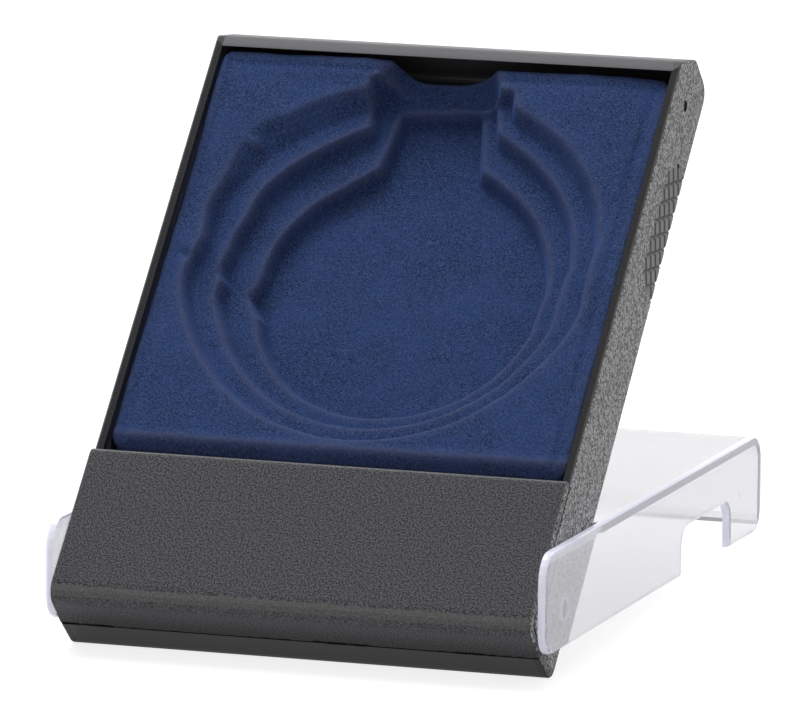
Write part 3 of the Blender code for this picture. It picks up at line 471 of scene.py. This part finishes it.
def make_insert():
    """The formed sheet as a fine grid, with rounded edges and a skirt down to the case's floor."""
    random = np.random.default_rng(5)
    xs = np.linspace(LEFT, RIGHT, round((RIGHT - LEFT) / GRID))
    ys = np.linspace(LOW, HIGH, round((HIGH - LOW) / GRID))
    x, y = np.meshgrid(xs, ys)
    depth = blurred(insert_depths(x, y, random), 0.3 / GRID)
    border_left, border_right, border_low, border_high = BORDER
    border = np.minimum.reduce([x - border_left, border_right - x, y - border_low, border_high - y])
    depth += 0.3 * np.exp(-((border / 0.7) ** 2)) * (depth < 2)
    depth -= LOW_BEAD * np.exp(-(((y - LOW - 3.0) / 0.9) ** 2))
    from_edge = np.minimum.reduce([x - LEFT, RIGHT - x, HIGH - y])
    depth += roll(from_edge, EDGE_ROLL) + roll(y - LOW, LOW_EDGE_ROLL)
    depth -= TOP_BULGE * np.exp(-(((x + 17) / 12) ** 2)) * eased(y, 37, 41.5) * (depth < 2.5)
    for height, size in ((0.10, 5.0), (0.035, 1.3), (0.012, 0.4)):
        depth += height * waves(random, x.shape, size)
    # Where the flock is painted paler, as wear and as a painted highlight: on what stands above its surroundings,
    # and along the roll of the lower edge.
    raised = np.clip((blurred(depth, 0.9 / GRID) - depth) / 0.45, 0, 1)
    raised += 0.9 * np.exp(-(((y - LOW - 2.7) / 0.5) ** 2))
    # The grid's corners are drawn in to a radius, and its upper edge rises a little beside the neck.
    centre_x = np.clip(x, LEFT + SHEET_CORNER, RIGHT - SHEET_CORNER)
    centre_y = np.clip(y, LOW + SHEET_CORNER, HIGH - SHEET_CORNER)
    away = np.hypot(x - centre_x, y - centre_y)
    pull = np.where(away > SHEET_CORNER, SHEET_CORNER / np.maximum(away, GRID), 1)
    x, y = centre_x + (x - centre_x) * pull, centre_y + (y - centre_y) * pull
    y += TOP_RISE * (1 - eased(x, -9, -6) * (1 - eased(x, 12, RIGHT))) * eased(y, 30, HIGH)
    rows, columns = x.shape
    points = np.stack([x, y, -depth], -1).reshape(-1, 3)
    index = np.arange(rows * columns).reshape(rows, columns)
    quads = np.stack([index[:-1, :-1], index[:-1, 1:], index[1:, 1:], index[1:, :-1]], -1).reshape(-1, 4)
    loop = np.concatenate([index[0, :-1], index[:-1, -1], index[-1, :0:-1], index[:0:-1, 0]])
    skirt = points[loop].copy()
    skirt[:, 2] = -SHEET_FOOT
    below = len(points) + np.arange(len(loop))
    walls = np.stack([loop, below, np.roll(below, -1), np.roll(loop, -1)], -1)
    points = np.concatenate([points, skirt]) * MM
    mesh = bpy.data.meshes.new("flocked_insert")
    mesh.from_pydata(points.tolist(), [], np.concatenate([quads, walls]).tolist())
    attribute = mesh.attributes.new("raised_edge", "FLOAT", "POINT")
    rim_wear_and_highlight = np.concatenate([raised.ravel(), np.zeros(len(loop))])
    attribute.data.foreach_set("value", rim_wear_and_highlight.astype(np.float32))
    mesh.transform(CASE)
    mesh.shade_smooth()
    obj = bpy.data.objects.new("flocked_insert", mesh)
    bpy.context.scene.collection.objects.link(obj)
    return obj


insert = make_insert()
insert.data.materials.append(nylon_flock())
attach(insert, "case")
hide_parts("insert_tray")

# The front plate's upper edge on the CAD node and on the moulding, with its radius, and its face, in mm.
PLATE_TOP, PLATE_TOP_RADIUS = -43.0, 0.6
PLATE_RAISED_TOP, PLATE_RAISED_RADIUS = -42.2, 1.1
PLATE_FACE = 1.8


def make_rounded_plate(node):
    """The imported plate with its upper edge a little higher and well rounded, as on the moulding."""
    mesh = node.data.copy()
    mesh.name = "front_plate_rounded"
    shape = bmesh.new()
    shape.from_mesh(mesh)
    bmesh.ops.remove_doubles(shape, verts=shape.verts, dist=0.001 * MM)
    growth = PLATE_RAISED_RADIUS / PLATE_TOP_RADIUS
    for vertex in shape.verts:
        point = CASE.inverted() @ vertex.co / MM
        over = point.y - PLATE_TOP + PLATE_TOP_RADIUS
        if over >= -0.005:
            point.y = PLATE_RAISED_TOP - PLATE_RAISED_RADIUS + over * growth
            if point.z > PLATE_FACE - PLATE_TOP_RADIUS - 0.005:
                point.z = PLATE_FACE - (PLATE_FACE - point.z) * growth
            vertex.co = CASE @ (point * MM)
    shape.to_mesh(mesh)
    shape.free()
    mesh.materials.clear()
    obj = bpy.data.objects.new("front_plate_rounded", mesh)
    bpy.context.scene.collection.objects.link(obj)
    return obj


shell_plastic = black_styrene(
    "leather_grained_black_styrene",
    ("#1b1b1e", "#2b2b2f"),
    period=0.35,
    relief=0.01,
    roughness=0.38,
    inner_wall_painted_light=0.8,
)
plate_plastic = black_styrene(
    "fine_grained_black_styrene",
    ("#141417", "#5e5e64"),
    period=0.30,
    relief=0.07,
    roughness=0.5,
    inner_wall_painted_light=0.0,
)
plate = make_rounded_plate(frame["nodes"]["front_plate"])
plate.data.materials.append(plate_plastic)
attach(plate, "case")
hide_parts("front_plate")

for name, material in (("rear_shell", shell_plastic), ("clear_lid", clear_styrene())):
    node = frame["nodes"][name]
    node.data.materials.clear()
    node.data.materials.append(material)


def make_floor():
    """White paper, with a faint shadow on it. It is white to the eye, through the lid and nearly so in gloss,
    and lights the object dimly."""
    mesh = bpy.data.meshes.new("floor")
    mesh.from_pydata([(-4, -4, 0), (4, -4, 0), (4, 4, 0), (-4, 4, 0)], [], [(0, 1, 2, 3)])
    floor = bpy.data.objects.new("floor", mesh)
    bpy.context.scene.collection.objects.link(floor)
    material, tree = new_material("white_paper")
    path = add(tree, "LightPath").outputs
    seen = add(tree, "Math", (path["Is Camera Ray"], path["Is Transmission Ray"]), operation="MAXIMUM")
    in_gloss = add(tree, "Math", (path["Is Glossy Ray"], 0.65), operation="MULTIPLY")
    seen = add(tree, "Math", (seen, in_gloss), operation="MAXIMUM")
    paper = add(tree, "BsdfDiffuse", {"Color": linear("#aaaaaa")})
    white = add(tree, "Emission", {"Strength": add(tree, "Math", (seen, 0.81), operation="MULTIPLY")})
    add(tree, "OutputMaterial", {"Surface": add(tree, "AddShader", (white, paper))})
    mesh.materials.append(material)


def make_light(name, place, aim, size, power, gloss):
    """A soft lamp that lights matt surfaces or, for gloss, only shows in polished ones."""
    lamp = bpy.data.lights.new(name, "AREA")
    lamp.energy = power
    lamp.size = size
    obj = bpy.data.objects.new(name, lamp)
    obj.location = place
    obj.rotation_euler = (Vector(aim) - Vector(place)).to_track_quat("-Z", "Y").to_euler()
    obj.visible_glossy = gloss
    obj.visible_diffuse = not gloss
    obj.visible_transmission = False
    bpy.context.scene.collection.objects.link(obj)


# Strength of the room's light on matt surfaces, where white is 1.
PLAIN_LIGHT = 0.45


def make_world():
    """A white room: plain light on the object, and white to the eye, through the lid and in gloss, where its
    ceiling is dim."""
    world = bpy.data.worlds.new("white_room")
    bpy.context.scene.world = world
    world.use_nodes = True
    tree = world.node_tree
    tree.nodes.clear()
    path = add(tree, "LightPath").outputs
    seen = add(tree, "Math", (path["Is Camera Ray"], path["Is Glossy Ray"]), operation="MAXIMUM")
    seen = add(tree, "Math", (seen, path["Is Transmission Ray"]), operation="MAXIMUM")
    height = add(tree, "SeparateXYZ", (add(tree, "TexCoord").outputs["Generated"],)).outputs["Z"]
    overhead = add(tree, "MapRange", (height, 0.4, 0.9), **EASED)
    ceiling = add(tree, "Math", (path["Is Glossy Ray"], overhead), operation="MULTIPLY")
    white = add(tree, "Math", (ceiling, -0.75, 1.0), operation="MULTIPLY_ADD")
    above_plain = add(tree, "Math", (white, PLAIN_LIGHT), operation="SUBTRACT")
    strength = add(tree, "Math", (seen, above_plain, PLAIN_LIGHT), operation="MULTIPLY_ADD")
    background = add(tree, "Background", {"Color": linear("#ffffff"), "Strength": strength})
    add(tree, "OutputWorld", {"Surface": background})


def make_camera():
    """The photograph's view, fitted to the straight edges of the case and lid and to the rings."""
    camera = bpy.data.cameras.new("camera")
    camera.lens = 450
    camera.sensor_width = 36
    camera.clip_end = 20
    obj = bpy.data.objects.new("camera", camera)
    turn = Matrix.Rotation(math.radians(13.4578), 4, "Z") @ Matrix.Rotation(math.radians(12.6218), 4, "Y")
    turn = turn @ Matrix.Rotation(math.radians(36.0877), 4, "X")
    obj.matrix_world = CASE @ Matrix.Translation((0.52239, -0.9074, 1.31657)) @ turn
    bpy.context.scene.collection.objects.link(obj)
    bpy.context.scene.camera = obj


make_floor()
make_world()
make_light("top_softbox", (-0.25, 0.05, 0.95), (0, 0, 0.04), 0.7, 6.5, gloss=False)
make_light("back_reflector", (-0.32, 0.62, 0.88), (0, 0, 0.08), 0.6, 3.0, gloss=True)
make_camera()
bpy.context.scene.view_settings.view_transform = "Standard"
